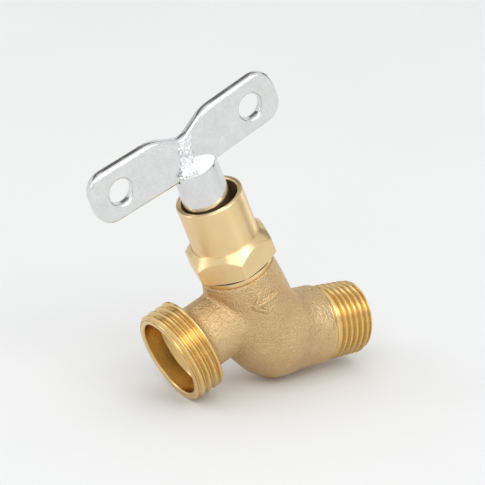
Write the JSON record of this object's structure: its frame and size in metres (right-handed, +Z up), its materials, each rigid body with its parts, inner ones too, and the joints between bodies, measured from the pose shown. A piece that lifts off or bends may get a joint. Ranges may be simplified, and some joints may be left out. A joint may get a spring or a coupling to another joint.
{
  "type": "hose bib",
  "caption": "Angled brass hose bib: taper pipe inlet, hose-thread outlet below, hexagon bonnet with a round shield over the stem, and a pull-off flat two-wing key.",
  "frame": {"origin": "on the inlet thread's axis at its hand-tight plane, 8.13 mm back from the inlet's end face", "axes": "+X along the inlet axis out of the inlet thread, +Z up, stem and outlet axes in the XZ plane, outlet towards -X"},
  "size_m": [0.0872, 0.027, 0.0906],
  "materials": {
    "cast_brass": "sand-cast, matt",
    "turned_brass": "turned, satin",
    "plated_key": "bright zinc plating",
    "key_braze": "rough, plated over",
    "screw_steel": "plain",
    "black_rubber": "matt",
    "graphite_packing": "matt"
  },
  "bodies": {
    "valve": {"body": "cast_brass", "bonnet": "turned_brass", "bonnet_gasket": "black_rubber", "packing_washer": "turned_brass", "packing_ring_low": "graphite_packing", "packing_ring_high": "graphite_packing", "gland": "turned_brass", "packing_nut": "turned_brass"},
    "disc": {"disc_holder": "turned_brass", "seat_washer": "black_rubber"},
    "stem": {"stem": "turned_brass", "washer_screw": "screw_steel"},
    "key": {"key_barrel": "plated_key", "key_plate": "plated_key", "braze_front": "key_braze", "braze_back": "key_braze"}
  },
  "joints": [
    {"name": "stem_lift", "type": "slide", "parent": "valve", "child": "disc", "axis": [-0.3987, 0, 0.9171], "range_m": [0, 0.0051]},
    {"name": "stem_turn", "type": "hinge", "parent": "disc", "child": "stem", "pos_m": [-0.03383, 0, 0.02751], "axis": [-0.3987, 0, 0.9171], "range_deg": [0, 720]},
    {"name": "key_pull", "type": "slide", "parent": "stem", "child": "key", "axis": [-0.3987, 0, 0.9171], "range_m": [0, 0.03]}
  ],
  "couplings": [
    {"joint": "stem_lift", "follows": "stem_turn", "m_per_rad": 0.00040425}
  ]
}
